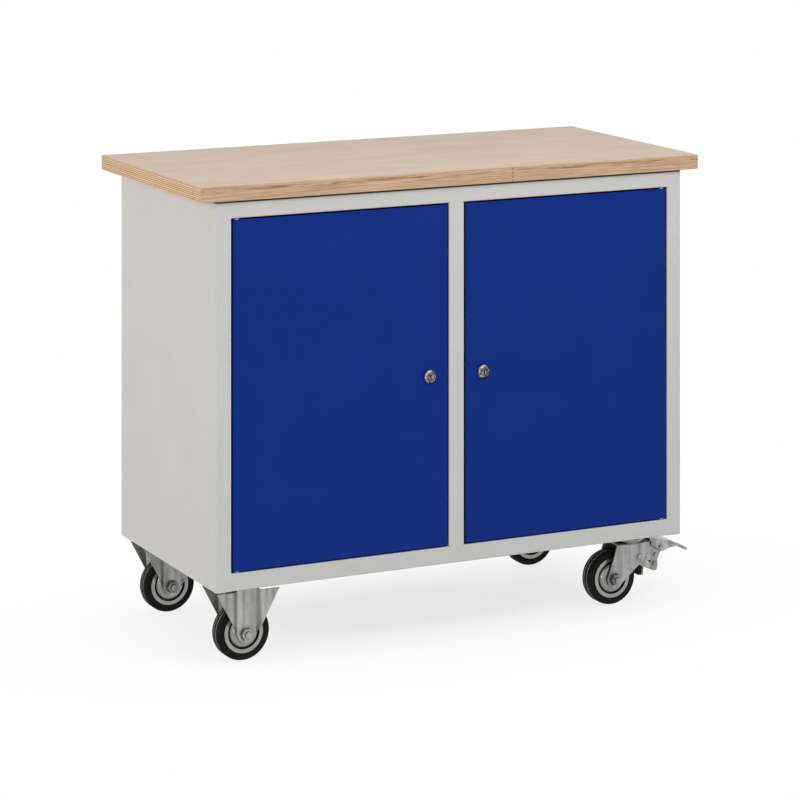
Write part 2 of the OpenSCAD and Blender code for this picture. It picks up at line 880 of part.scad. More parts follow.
module fixed_fork(x, y) {
    reach = fork_y1 + wing_out + 1;
    color(zinc) translate([x, y, 0]) {
        mounting_plate();
        for (s = [0, 1]) mirror([0, s, 0]) difference() {
            intersection() {
                translate([0, 0, wheel_r - boss_r]) linear_extrude(leg_top - wheel_r + boss_r)
                    fixed_leg_section();
                along_y(0, reach) fixed_leg_outline();
            }
            translate([0, 0, wheel_r]) bar_y(axle_r + run, 0, reach);
        }
    }
}

module at_kingpin(i) {
    translate([swivel_x, swivel_y[i], 0]) children();
}

// A point of the brake is given from the kingpin along X and from the axle upwards
module brake_point(p) {
    translate([p.x, 0, wheel_r + p.y]) children();
}

module swivel_plate(i) {
    step = 4;
    inner = dish_r - 7.5;
    color(zinc) at_kingpin(i) difference() {
        union() {
            mounting_plate();
            translate([0, 0, race_z + slip]) cylinder(r = inner, h = plate_z - race_z - slip);
            translate([0, 0, crown_z + dish_h + slip])
                cylinder(r = inner + step, h = plate_z - crown_z - dish_h - slip);
        }
        translate([0, 0, crown_z]) cylinder(r = kingpin_r + run, h = caster_h);
        translate([0, 0, caster_h - kingpin_top_h])
            cylinder(r = kingpin_head_r + run, h = kingpin_top_h + 1);
    }
}

module kingpins() {
    foot = crown_z - fork_t - slip - kingpin_head_h;
    color(zinc) for (i = [0, 1]) at_kingpin(i) {
        translate([0, 0, foot]) cylinder(r = kingpin_head_r, h = kingpin_head_h);
        translate([0, 0, foot]) cylinder(r = kingpin_r, h = caster_h - foot);
        translate([0, 0, caster_h - kingpin_top_h])
            cylinder(r = kingpin_head_r, h = kingpin_top_h);
    }
}

module swivel_leg_outline() {
    axle = [-trail, wheel_r];
    back = [crown_x0, crown_z];
    knee = [9, wheel_r + 20.5];
    translate(axle) circle(boss_r);
    polygon([
        touch(back, axle, boss_r, 1), touch(knee, axle, boss_r, -1), knee,
        [19, wheel_r + 28], [31, wheel_r + 48], [crown_x1, crown_z], back
    ]);
}

module swivel_fork(i) {
    low = wheel_r - boss_r;
    rim_h = 3;
    color(zinc) at_kingpin(i) difference() {
        union() {
            intersection() {
                along_x(-trail - boss_r, crown_x1)
                    folded([[fork_y1, low], [fork_y1, crown_z], [-fork_y1, crown_z], [-fork_y1, low]],
                           fork_t, 1.5 * fork_t);
                along_y(-fork_y1, fork_y1) swivel_leg_outline();
            }
            rotate_extrude($fn = 96) polygon([
                [0, crown_z - fork_t], [dish_r - dish_h, crown_z - fork_t],
                [dish_r, crown_z + dish_h - rim_h], [dish_r, crown_z + dish_h],
                [dish_r - 2, crown_z + dish_h], [dish_r - 7, race_z], [0, race_z]
            ]);
        }
        cylinder(r = kingpin_r + run, h = caster_h);
        translate([-trail, 0, wheel_r]) bar_y(axle_r + run, -fork_y1 - 1, fork_y1 + 1);
        brake_point(fork_rivet) bar_y(fork_rivet_r + run, -fork_y1 - 1, fork_y1 + 1);
    }
}

// A rivet across the brake with a head outside y1 on both sides
module rivet(y1, r = rivet_r) {
    bar_y(r, -y1, y1);
    for (s = [0, 1]) mirror([0, s, 0]) bar_y(head_share * r, y1, y1 + head_h);
}

// Side plate of the brake: a lobe round the lower rivet, a waist in front, a pierced eye
module brake_plate_outline() {
    lobe = [45, 13.2];
    lobe_r = 6.8;
    waist = [80, 22];
    waist_r = 28;
    eye = [34.5, 24.5];
    eye_r = 2.8;
    difference() {
        union() {
            translate(lobe) circle(lobe_r);
            polygon([
                [6, 34], [12, 56], [62, 58], [62, 42], lobe + [lobe_r, 0], lobe - [0, lobe_r],
                lobe - [5, 5.6], [29.5, 12], [16, 18.5], [9, 22]
            ]);
        }
        translate(waist) circle(waist_r);
        translate(eye) circle(eye_r);
        polygon([eye + [0, eye_r], eye - [2.4 * eye_r, 0], eye - [0, eye_r]]);
    }
}

module brake_frame(i) {
    color(zinc) at_kingpin(i) {
        for (s = [0, 1]) mirror([0, s, 0]) {
            difference() {
                translate([0, 0, wheel_r]) along_y(brake_y0, brake_y1) brake_plate_outline();
                for (p = concat(frame_rivets, [guide_rivet, pedal_pivot]))
                    brake_point(p) bar_y(rivet_r + run, 0, fork_y1);
                brake_point(fork_rivet) bar_y(fork_rivet_r + run, 0, fork_y1);
            }
            brake_point(guide_rivet) {
                bar_y(rivet_r, shoe_w / 2 - shoe_t, brake_y1);
                bar_y(head_share * rivet_r, brake_y1, brake_y1 + head_h);
            }
        }
        brake_point(fork_rivet) rivet(fork_y1, fork_rivet_r);
        for (p = frame_rivets)
            brake_point(p) rivet(brake_y1);
        brake_point(pedal_pivot) rivet(pedal_y1 + slip);
    }
}

// Curved top sheet with a cheek on each side, and the arm whose nose pushes the shoe
module brake_pedal(i) {
    step = 4;
    cheek_a = 64;
    heel = pedal_at(pedal_a1 - 1);
    color(zinc) at_kingpin(i) translate([0, 0, wheel_r]) difference() {
        union() {
            along_y(-pedal_y1 - slip, pedal_y1 + slip) {
                translate(pedal_axis)
                    ring_sector(pedal_r - pedal_t, pedal_r, pedal_a0, pedal_a1);
                translate(pedal_at(pedal_a0)) circle(pedal_bead / 2);
            }
            for (s = [0, 1]) mirror([0, s, 0]) along_y(pedal_y0, pedal_y1) {
                translate(pedal_pivot) circle(pivot_boss_r);
                polygon(concat(
                    [for (a = [pedal_a1 - 1 : -step : cheek_a]) pedal_at(a)],
                    cheek_low,
                    [pedal_pivot - [0, pivot_boss_r], heel - [0, 10]]));
            }
            along_y(-nose_w / 2, nose_w / 2) {
                translate(nose) circle(nose_r);
                polygon([
                    heel + [1, 0], pedal_at(80), pedal_at(76), pedal_pivot + [5, -4],
                    pedal_pivot - [13, 5], nose + [nose_r, -1], nose + [1 - nose_r, 2],
                    heel - [0, 20]
                ]);
            }
        }
        translate([pedal_pivot.x, 0, pedal_pivot.y])
            bar_y(rivet_r + run, -pedal_y1 - 1, pedal_y1 + 1);
    }
}

// Slot that lets the shoe slide along a rivet of radius r
module shoe_slot(p, r) {
    reach = shoe_w;
    for (x = [0, shoe_travel + shoe_end])
        brake_point(p + [x, 0]) bar_y(r + run, -reach, reach);
    brake_point(p - [0, r + run]) translate([0, -reach, 0])
        cube([shoe_travel + shoe_end, 2 * reach, 2 * (r + run)]);
}

// Tongue that leans towards the wheel, between two side plates that slide along the rivets
module brake_shoe(i) {
    top = 45;
    side_t = 2.5;
    side_x0 = fork_rivet.x - 6;
    side_x1 = guide_rivet.x + shoe_travel + 8;
    front = shoe_back - shoe_t;
    color(zinc) at_kingpin(i) difference() {
        translate([0, 0, wheel_r]) {
            along_y(-shoe_w / 2, shoe_w / 2)
                polygon([
                    [front, top], [front, shoe_bend], shoe_foot, shoe_foot + [shoe_t, -1],
                    [shoe_back, shoe_bend], [shoe_back, top]
                ]);
            for (s = [0, 1]) mirror([0, s, 0])
                along_y(shoe_w / 2, shoe_w / 2 + side_t)
                    polygon([
                        [side_x0, top], [side_x0, 31.5], [front - 4, 31], [front, 28],
                        [front, shoe_bend], [shoe_back, shoe_bend], [shoe_back + 4, 29],
                        [side_x1, 31.5], [side_x1, top]
                    ]);
        }
        shoe_slot(fork_rivet, fork_rivet_r);
        shoe_slot(guide_rivet, rivet_r);
    }
}

// The pad's face is cut to the tyre's circle in the shoe's braking position
module brake_pad(i) {
    front = shoe_back - shoe_t;
    color(black) at_kingpin(i) translate([0, 0, wheel_r]) difference() {
        along_y(-pad_w / 2, pad_w / 2)
            polygon([[front, shoe_bend], shoe_foot, [pad_x0, shoe_foot.y + 1], [pad_x1, shoe_bend]]);
        translate([shoe_travel - trail, 0, 0]) bar_y(wheel_r + slip, -pad_w, pad_w);
    }
}

// ---------------------------------------------------------------- parts

place() worktop();
place() worktop_screws();
place() mirror([1, 0, 0]) side_panel();  // side_panel_left
place() side_panel();  // side_panel_right
place() back_panel();
place() base_pan();
place() top_rail();
place() bottom_rail();
place() centre_post();
place() centre_partition();
place() shelf_uprights();
place() shelf_clips();
place() mirror([1, 0, 0]) shelf();  // shelf_left
place() shelf();  // shelf_right
place() hinge_pins();
place() caster_channel(fixed_x, fixed_y);  // caster_channel_left
place() caster_channel(swivel_x, swivel_y);  // caster_channel_right
place() caster_bolts();
place() mirror([1, 0, 0]) door_pan();  // left_door_pan
place() mirror([1, 0, 0]) door_stiffener();  // left_door_stiffener
place() mirror([1, 0, 0]) hinge_bushes();  // left_hinge_bushes
place() mirror([1, 0, 0]) lock_body();  // left_lock_body
place() mirror([1, 0, 0]) lock_plug();  // left_lock_plug
place() mirror([1, 0, 0]) lock_cam();  // left_lock_cam
place() door_pan();  // right_door_pan
place() door_stiffener();  // right_door_stiffener
place() hinge_bushes();  // right_hinge_bushes
place() lock_body();  // right_lock_body
place() lock_plug();  // right_lock_plug
place() lock_cam();  // right_lock_cam
place() fixed_fork(fixed_x, fixed_y[0]);  // fixed_fork_front
place() fixed_fork(fixed_x, fixed_y[1]);  // fixed_fork_rear
place() for (y = fixed_y) axle_bolt(fixed_x, y);  // fixed_axles
place() tyre(fixed_x, fixed_y[0]);  // fixed_tyre_front
place() rim(fixed_x, fixed_y[0]);  // fixed_rim_front
place() hub(fixed_x, fixed_y[0]);  // fixed_hub_front
place() tyre(fixed_x, fixed_y[1]);  // fixed_tyre_rear
place() rim(fixed_x, fixed_y[1]);  // fixed_rim_rear
place() hub(fixed_x, fixed_y[1]);  // fixed_hub_rear
place() swivel_plate(0);  // swivel_plate_front
place() swivel_plate(1);  // swivel_plate_rear
place() kingpins();
place() swivel_fork(0);  // swivel_fork_front
place() axle_bolt(swivel_wheel_x, swivel_y[0]);  // swivel_axle_front
place() brake_frame(0);  // brake_frame_front
place() brake_pedal(0);  // brake_pedal_front
place() brake_shoe(0);  // brake_shoe_front
place() brake_pad(0);  // brake_pad_front
place() tyre(swivel_wheel_x, swivel_y[0]);  // swivel_tyre_front
place() rim(swivel_wheel_x, swivel_y[0]);  // swivel_rim_front
place() hub(swivel_wheel_x, swivel_y[0]);  // swivel_hub_front
place() swivel_fork(1);  // swivel_fork_rear
place() axle_bolt(swivel_wheel_x, swivel_y[1]);  // swivel_axle_rear
place() brake_frame(1);  // brake_frame_rear
place() brake_pedal(1);  // brake_pedal_rear
place() brake_shoe(1);  // brake_shoe_rear
place() brake_pad(1);  // brake_pad_rear
place() tyre(swivel_wheel_x, swivel_y[1]);  // swivel_tyre_rear
place() rim(swivel_wheel_x, swivel_y[1]);  // swivel_rim_rear
place() hub(swivel_wheel_x, swivel_y[1]);  // swivel_hub_rear
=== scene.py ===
"""Mobile tool cabinet: finishes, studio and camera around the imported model.

Metres, +Z up, the doors face -Y, the floor is z = 0.
"""

import json
import math

import bmesh
import bpy
from mathutils import Matrix, Vector


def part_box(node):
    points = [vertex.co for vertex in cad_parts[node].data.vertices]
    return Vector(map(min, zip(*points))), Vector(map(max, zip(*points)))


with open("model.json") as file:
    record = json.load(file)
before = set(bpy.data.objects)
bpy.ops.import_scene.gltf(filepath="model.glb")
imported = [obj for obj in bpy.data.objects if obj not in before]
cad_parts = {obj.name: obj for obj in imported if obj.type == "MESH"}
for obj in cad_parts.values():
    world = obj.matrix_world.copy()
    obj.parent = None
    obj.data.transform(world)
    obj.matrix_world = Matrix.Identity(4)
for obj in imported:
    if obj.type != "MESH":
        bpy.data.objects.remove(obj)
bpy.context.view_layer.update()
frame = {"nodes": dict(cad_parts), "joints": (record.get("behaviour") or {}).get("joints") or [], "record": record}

# ---------------------------------------------------------------- places taken from the model

TOP_LOW, TOP_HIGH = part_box("worktop")
TOP_MIDDLE = (TOP_LOW + TOP_HIGH) / 2
JOINT_PLACES = {
    joint["name"]: Vector(joint["pos_m"]) for joint in frame["joints"] if "pos_m" in joint
}
LOCKS = [JOINT_PLACES[f"{side}_lock_turn"] for side in ("left", "right")]
WHEELS = {
    (kind, end): JOINT_PLACES[f"{kind}_wheel_{end}_roll"]
    for kind in ("fixed", "swivel")
    for end in ("front", "rear")
}
WHEEL_RADIUS = WHEELS["fixed", "front"].z

# ---------------------------------------------------------------- camera

IMAGE = 800  # the photograph's side, in pixels
VIEW_TURN = math.radians(-26.14)  # the camera stands to the left of the doors' middle
VIEW_DISTANCE = 5.896  # level distance from the worktop's middle
EYE_HEIGHT = 1.619
FOCAL = 3169.6  # in pixels
HORIZON = -261.4  # the horizon's place below the picture's top edge, in pixels
SENSOR = 36.0  # in millimetres
CLIP = (0.1, 100)  # nearest and farthest distance drawn


def sheared_camera():
    """A camera whose picture plane stays upright while it looks down at the object.

    The photograph's upright edges are parallel. The camera has no lens shift and its own axes are
    unit vectors: a scaled empty above it leans its line of sight away from the picture's up
    direction. A view that takes the camera out of the empty drops this lean.
    """
    right = Vector((math.cos(VIEW_TURN), math.sin(VIEW_TURN), 0))
    back = Vector((math.sin(VIEW_TURN), -math.cos(VIEW_TURN), 0))
    up = Vector((0, 0, 1))
    sight = -back * FOCAL - (IMAGE / 2 - HORIZON) * up
    place = Vector((TOP_MIDDLE.x, TOP_MIDDLE.y, 0)) + back * VIEW_DISTANCE + up * EYE_HEIGHT
    axes = Matrix((right, up, -sight.normalized())).transposed()
    # axes = turn_a * diagonal * turn_b, by the eigenvectors of axes * its transpose. Only up and
    # the line of sight lean towards each other, so the stretch is along their two bisectors.
    lean = axes.col[1].dot(axes.col[2])
    one = (axes.col[2] + axes.col[1]).normalized()
    two = (axes.col[2] - axes.col[1]).normalized()
    outer = Matrix((one.cross(two), one, two)).transposed()
    stretch = (1.0, math.sqrt(1 + lean), math.sqrt(1 - lean))
    inner = Matrix.Diagonal([1 / s for s in stretch]) @ outer.transposed() @ axes

    holder = bpy.data.objects.new("camera_holder", None)
    holder.matrix_world = (
        Matrix.Translation(place) @ outer.to_4x4() @ Matrix.Diagonal((*stretch, 1))
    )
    data = bpy.data.cameras.new("camera")
    data.sensor_width = SENSOR
    data.lens = sight.length / IMAGE * SENSOR
    data.clip_start, data.clip_end = CLIP
    camera = bpy.data.objects.new("camera", data)
    camera.parent = holder
    camera.rotation_mode = "QUATERNION"
    camera.rotation_quaternion = inner.to_quaternion()
    for thing in (holder, camera):
        bpy.context.scene.collection.objects.link(thing)
    bpy.context.scene.camera = camera


sheared_camera()

# ---------------------------------------------------------------- node building

# In all the finishes, a noise's scale is in cells per metre. A ramp turns what lies in a span, from
# its first number to its second, into what lies between the two numbers of out.

UNIT = (0.0, 1.0)
CREVICE_SAMPLES = 6


class Nodes:
    """Short helpers for building one node tree."""

    def __init__(self, tree):
        self.tree = tree

    def plug(self, socket, value):
        """Links a socket, or sets a plain value. A colour may come without its alpha."""
        if isinstance(value, bpy.types.NodeSocket):
            self.tree.links.new(value, socket)
        elif socket.type == "RGBA" and len(value) == 3:
            socket.default_value = (*value, 1)
        else:
            socket.default_value = value

    def add(self, kind, inputs=None, **settings):
        """A new node. What comes back is its outputs."""
        node = self.tree.nodes.new(kind)
        for key, value in settings.items():
            setattr(node, key, value)
        for key, value in (inputs or {}).items():
            self.plug(node.inputs[key], value)
        return node.outputs

    def ramp(self, value, span, out=UNIT):
        inputs = {"Value": value}
        inputs["From Min"], inputs["From Max"] = span
        inputs["To Min"], inputs["To Max"] = out
        return self.add("ShaderNodeMapRange", inputs)["Result"]

    def math(self, operation, a, b=0.0, c=0.0):
        return self.add("ShaderNodeMath", {0: a, 1: b, 2: c}, operation=operation)["Value"]

    def times(self, a, b):
        return self.math("MULTIPLY", a, b)

    def off(self, value, middle):
        """How far value is from middle."""
        return self.math("ABSOLUTE", self.math("SUBTRACT", value, middle))


class Shader(Nodes):
    """A Principled material with procedural nodes, in object coordinates."""

    def __init__(self, name, **values):
        self.material = bpy.data.materials.new(name)
        self.material.use_nodes = True
        super().__init__(self.material.node_tree)
        self.principled = self.tree.nodes["Principled BSDF"]
        for socket, value in values.items():
            self.set(socket.replace("_", " "), value)
        self.place = self.add("ShaderNodeTexCoord")["Object"]

    def set(self, socket, value):
        self.plug(self.principled.inputs[socket], value)

    def split(self, vector):
        return self.add("ShaderNodeSeparateXYZ", {"Vector": vector})

    def noise(self, scale, detail=3.0, stretch=None, distortion=0.0, roughness=0.5):
        """Noise in object coordinates, which can be stretched by a factor for each axis."""
        vector = self.place
        if stretch:
            vector = self.add("ShaderNodeMapping", {"Vector": vector, "Scale": stretch})["Vector"]
        return self.noise_at(vector, scale, detail, distortion, roughness)

    def noise_at(self, vector, scale=1.0, detail=3.0, distortion=0.0, roughness=0.5):
        inputs = {"Vector": vector, "Scale": scale, "Detail": detail,
                  "Distortion": distortion, "Roughness": roughness}
        return self.add("ShaderNodeTexNoise", inputs)["Fac"]

    def streaks(self, size, run):
        """Vertical drawing marks, about size across and run along the height, in metres."""
        inputs = {0: self.place, 1: (1 / size, 1 / size, 1 / run)}
        scaled = self.add("ShaderNodeVectorMath", inputs, operation="MULTIPLY")
        return self.noise_at(scaled["Vector"])

    def mix(self, amount, a, b):
        """a where amount is 0, b where it is 1."""
        return self.add("ShaderNodeMix", {0: amount, 6: a, 7: b}, data_type="RGBA")[2]

    def lit(self, colour, light):
        """The colour times light, which may go past 1."""
        inputs = {0: colour, "Scale": light}
        return self.add("ShaderNodeVectorMath", inputs, operation="SCALE")["Vector"]

    def bump(self, height, depth, strength):
        """Bump of the given depth, in metres."""
        inputs = {"Height": height, "Distance": depth, "Strength": strength}
        self.set("Normal", self.add("ShaderNodeBump", inputs)["Normal"])

    def crevice(self, reach, span):
        """Mask for painted shade: 1 on open surfaces, 0 deep in gaps narrower than reach, in metres."""
        inputs = {"Distance": reach}
        occlusion = self.add("ShaderNodeAmbientOcclusion", inputs, samples=CREVICE_SAMPLES)
        return self.ramp(occlusion["AO"], span)

    def normal(self):
        return self.add("ShaderNodeNewGeometry")["Normal"]

    def facing(self, towards, light):
        """Painted light and shade by the way a face turns: light's first number facing away from a direction, its
        second facing it.
        """
        inputs = {0: self.normal(), 1: tuple(Vector(towards).normalized())}
        turned = self.add("ShaderNodeVectorMath", inputs, operation="DOT_PRODUCT")["Value"]
        return self.ramp(turned, (-1, 1), out=light)

    def offset(self, centre):
        """Coordinates from centre: across in X, along in Y and up in Z."""
        inputs = {0: self.place, 1: tuple(centre)}
        return self.split(
            self.add("ShaderNodeVectorMath", inputs, operation="SUBTRACT")["Vector"]
        )

    def radius(self, across, up):
        square = self.math("ADD", self.times(across, across), self.times(up, up))
        return self.math("SQRT", square)


def srgb(r, g, b):
    """Linear colour from 0..255 display values."""
    def linear(value):
        value /= 255
        return value / 12.92 if value <= 0.04045 else ((value + 0.055) / 1.055) ** 2.4
    return (linear(r), linear(g), linear(b))


def tinted(colour, share):
    """The colour times share, which is one number or one for each channel."""
    shares = share if isinstance(share, tuple) else (share,) * 3
    return tuple(c * f for c, f in zip(colour, shares))


# ---------------------------------------------------------------- paint

GAP_REACH = 0.012  # surfaces nearer to each other than this get painted shade, in metres
GAP_SHADE = 0.04  # share of the paint's colour left deep in a gap, as painted shade
COAT_IOR = 1.5
PEEL_SCALE, GRAIN_SCALE = 700.0, 2600.0
PEEL_SHARE, GRAIN_SHARE = 0.7, 0.3  # of the relief's depth
COAT_RELIEF = {"depth": 0.00012, "strength": 0.35}
# The worktop's contact shadow, in heights from its underside: it fades in over the first pair
# and out over the second.
TOP_SHADOW_IN = (-0.0048, -0.0036)
TOP_SHADOW_OUT = (0.0010, 0.0005)


def powder_coat(name, colour, roughness, cast, gloss):
    """Powder-coated steel: fine orange peel, a slight mottling, painted shade in the gaps between its sheets, and
    a painted contact shadow under the worktop.

    cast is how much darker the mottling gets, as a share of the colour.
    """
    s = Shader(name, Roughness=roughness, IOR=COAT_IOR, Specular_IOR_Level=gloss)
    mottle = s.ramp(s.noise(9.0, detail=4.0), (0.3, 0.7))
    coat = s.mix(mottle, colour, tinted(colour, 1 - cast))
    dark = tinted(colour, GAP_SHADE)
    # painted shade deep in the gaps between sheets
    coat = s.mix(s.crevice(reach=GAP_REACH, span=(0.1, 0.6)), dark, coat)
    height = s.split(s.place)["Z"]
    fade_in, fade_out = (
        s.ramp(height, tuple(TOP_LOW.z + step for step in steps))
        for steps in (TOP_SHADOW_IN, TOP_SHADOW_OUT)
    )
    # painted contact shadow from a few millimetres below the worktop's underside up to it
    s.set("Base Color", s.mix(s.times(fade_in, fade_out), coat, dark))
    dull = (roughness - 0.05, roughness + 0.06)
    s.set("Roughness", s.ramp(s.noise(60.0), (0.2, 0.8), out=dull))
    peel, grain = (s.noise(scale, detail=2.0) for scale in (PEEL_SCALE, GRAIN_SCALE))
    relief = s.math("MULTIPLY_ADD", peel, PEEL_SHARE, s.times(grain, GRAIN_SHARE))
    s.bump(relief, **COAT_RELIEF)
    return s.material


# ---------------------------------------------------------------- plated metal

WARM_TINT, COOL_TINT = (1.03, 1.0, 0.94), (0.98, 1.0, 1.02)  # of the zinc's passivation
DRAWN_MARKS = {"size": 0.011, "run": 0.18}
ZINC_CORNER_SHADE = 0.08  # share of the zinc's colour left in its corners, as painted shade
ZINC_RELIEF = {"depth": 0.0002, "strength": 0.25}
RIM_MARKS = 2600.0  # noise cells per metre of radius
RIM_DARK, RIM_LIGHT = 0.86, 1.08  # shares of the colour in the marks
# share of the rim's colour left in its corners, as painted shade
RIM_CORNER_SHADE = 0.1
RIM_RELIEF = {"depth": 0.0001, "strength": 0.25}


def zinc_plate(name, colour, roughness):
    """Bright zinc: drawing marks, cloudy crystals, passivation tints, painted shade in the corners, and painted
    light and shade by the way each face turns.
    """
    s = Shader(name, Metallic=0.6, Roughness=roughness)
    cloud = s.noise(55.0, detail=4.0, distortion=0.6)
    blush = s.ramp(s.noise(16.0), (0.35, 0.65))
    tint = s.mix(blush, tinted(colour, WARM_TINT), tinted(colour, COOL_TINT))
    marks = s.ramp(s.streaks(**DRAWN_MARKS), (0.34, 0.66), out=(0.52, 1.16))
    light = s.times(marks, s.ramp(cloud, (0.3, 0.75), out=(0.86, 1.04)))
    # painted light and shade: lighter as a face turns up, to the front and to the right
    light = s.times(light, s.facing(towards=(0.35, -0.55, 0.75), light=(0.5, 1.28)))
    # painted shade in the corners
    open_face = s.crevice(reach=0.005, span=(0.45, 0.92))
    s.set("Base Color", s.mix(open_face, tinted(colour, ZINC_CORNER_SHADE), s.lit(tint, light)))
    dull = (roughness - 0.06, roughness + 0.12)
    s.set("Roughness", s.ramp(cloud, (0.25, 0.75), out=dull))
    s.bump(s.noise(420.0), **ZINC_RELIEF)
    return s.material


def turned_rim(name, colour, centre):
    """The rims' zinc, with the fine concentric marks of spinning, painted shade in the corners, and painted light
    and shade by the way each face turns.
    """
    s = Shader(name, Metallic=0.75, Roughness=0.24)
    across, _, up = s.offset(centre)
    around = s.add("ShaderNodeCombineXYZ", {"X": s.times(s.radius(across, up), RIM_MARKS)})
    marks = s.noise_at(around["Vector"])
    tint = s.mix(marks, tinted(colour, RIM_DARK), tinted(colour, RIM_LIGHT))
    # painted light and shade: lighter as a face turns to the front, up and to the right
    plate = s.lit(tint, s.facing(towards=(0.45, -0.75, 0.5), light=(0.35, 1.2)))
    # painted shade in the corners
    open_face = s.crevice(reach=0.010, span=(0.3, 0.95))
    s.set("Base Color", s.mix(open_face, tinted(colour, RIM_CORNER_SHADE), plate))
    s.set("Roughness", s.ramp(s.noise(90.0), (0.3, 0.7), out=(0.18, 0.32)))
    s.bump(marks, **RIM_RELIEF)
    return s.material


# plating colours between which painted reflections wander
CHROME_DARK, CHROME_LIGHT = (0.06, 0.06, 0.055), (0.27, 0.265, 0.25)
CHROME_GAP = (0.01, 0.01, 0.01)
CHROME_RELIEF = {"depth": 0.00005, "strength": 0.2}
PLUG_JOINT = (0.0062, 0.0072)  # radii between which the joint round a lock's plug lies, painted dark as shade, in metres
KEYWAY = (0.0017, 0.0042)  # half width and half height of the black patch painted as the keyway's shade in each lock, in metres
KEYWAY_BLACK, KEYWAY_GLINT = (0.008, 0.008, 0.008), (0.75, 0.75, 0.73)
# The painted glint on the keyway's patch, in shares of its half sizes: middle across, half width, half height
GLINT_MIDDLE, GLINT_WIDTH, GLINT_HEIGHT = 0.55, 0.4, 0.4


def chrome_plate(name, locks):
    """Polished plating with painted reflections, painted light and shade, and painted shade in its gaps; at each
    lock's plug, painted shade in the joint and keyway, and a painted glint.
    """
    s = Shader(name, Metallic=1.0, Roughness=0.12)
    # painted reflections: blotches of dark and light plating
    tint = s.mix(s.ramp(s.noise(260.0, detail=2.0), (0.38, 0.66)), CHROME_DARK, CHROME_LIGHT)
    # painted light and shade: lighter as a face turns up, to the left and a little to the front
    plate = s.lit(tint, s.facing(towards=(-0.8, -0.2, 0.7), light=(0.1, 2.2)))
    half_width, half_height = KEYWAY
    for lock in locks:
        across, _, up = s.offset(lock)
        joint = s.math("COMPARE", s.radius(across, up), sum(PLUG_JOINT) / 2,
                       (PLUG_JOINT[1] - PLUG_JOINT[0]) / 2)
        beside, above = (s.math("ABSOLUTE", value) for value in (across, up))
        keyway_shade = s.times(s.math("LESS_THAN", beside, half_width),
                          s.math("LESS_THAN", above, half_height))
        glint = s.times(
            s.math("COMPARE", across, half_width * GLINT_MIDDLE, half_width * GLINT_WIDTH),
            s.math("LESS_THAN", above, half_height * GLINT_HEIGHT),
        )
        # painted shade in the joint round the plug and in the keyway
        plate = s.mix(s.math("MAXIMUM", joint, keyway_shade), plate, KEYWAY_BLACK)
        # painted glint on the keyway's patch
        plate = s.mix(glint, plate, KEYWAY_GLINT)
    # painted shade in the gaps
    s.set("Base Color", s.mix(s.crevice(reach=0.004, span=(0.35, 0.8)), CHROME_GAP, plate))
    s.set("Roughness", s.ramp(s.noise(240.0), (0.3, 0.7), out=(0.08, 0.2)))
    s.bump(s.noise(900.0, detail=2.0), **CHROME_RELIEF)
    return s.material


# ---------------------------------------------------------------- rubber and nylon

TREAD_HALF = 0.0088  # half the tread's width, in metres
GROOVE_DEPTH = 0.0003  # rubber further in than this below the tread counts as a groove
DUST_GAIN, DUST_LIFT = 1.9, 0.003  # what dust does to the rubber's colour
WORN_TREAD, GROOVE_PALE = (0.02, 0.019, 0.018), (0.75, 0.72, 0.66)
WORN_SHARE = 0.4
MOULDED_RINGS = 5200.0  # radians per metre of radius
RING_HEIGHT = 0.15  # in parts of the relief's depth
TYRE_RELIEF = {"depth": 0.0002, "strength": 0.4}


def tyre_rubber(name, colour, centre, roughness):
    """Solid rubber tyre: dust, pale grooves in the tread, a worn tread, moulded rings on the side."""
    s = Shader(name, Roughness=roughness, Specular_IOR_Level=0.12)
    across, along, up = s.offset(centre)
    radius = s.radius(across, up)
    along = s.math("ABSOLUTE", along)
    dust = s.ramp(s.noise(90.0, detail=5.0), (0.42, 0.75))
    rubber = s.mix(dust, colour, tuple(c * DUST_GAIN + DUST_LIFT for c in colour))
    tread = s.math("LESS_THAN", along, TREAD_HALF)
    groove = s.times(tread, s.math("LESS_THAN", radius, WHEEL_RADIUS - GROOVE_DEPTH))
    rubber = s.mix(s.times(tread, WORN_SHARE), rubber, WORN_TREAD)
    # pale lines in the tread's grooves
    groove_pale = s.times(groove, s.ramp(s.noise(300.0), (0.2, 0.7), out=(0.6, 1.0)))
    s.set("Base Color", s.mix(groove_pale, rubber, GROOVE_PALE))
    dull = (roughness - 0.08, roughness + 0.1)
    s.set("Roughness", s.ramp(s.noise(150.0), (0.2, 0.8), out=dull))
    rings = s.math("SINE", s.times(radius, MOULDED_RINGS))
    side = s.math("GREATER_THAN", along, TREAD_HALF)
    relief = s.math("MULTIPLY_ADD", s.times(rings, side), RING_HEIGHT, s.noise(1500.0))
    s.bump(relief, **TYRE_RELIEF)
    return s.material


PAD_DARK, PAD_LIGHT = (0.006, 0.006, 0.006), (0.016, 0.016, 0.016)


def pad_rubber(name):
    """Brake pads' black rubber, slightly dusty."""
    s = Shader(name, Roughness=0.7, Specular_IOR_Level=0.15)
    dust = s.ramp(s.noise(120.0, detail=4.0), (0.4, 0.7))
    s.set("Base Color", s.mix(dust, PAD_DARK, PAD_LIGHT))
    s.bump(s.noise(1300.0), **TYRE_RELIEF)
    return s.material


NYLON_DARK, NYLON_LIGHT, NYLON_GAP = srgb(216, 214, 206), srgb(232, 230, 222), (0.02, 0.02, 0.02)
NYLON_DEPTH = 0.002  # how far light goes into it, in metres
NYLON_RELIEF = {"depth": 0.0001, "strength": 0.25}


def nylon(name):
    """The hinge bushes' white nylon, with painted shade in its gaps."""
    s = Shader(name, Roughness=0.45, Subsurface_Weight=0.15, Subsurface_Radius=(NYLON_DEPTH,) * 3)
    plain = s.mix(s.noise(300.0, detail=2.0), NYLON_LIGHT, NYLON_DARK)
    # painted shade in the gaps
    s.set("Base Color", s.mix(s.crevice(reach=GAP_REACH, span=(0.3, 0.95)), NYLON_GAP, plain))
    s.bump(s.noise(1200.0, detail=2.0), **NYLON_RELIEF)
    return s.material


# ---------------------------------------------------------------- multiplex

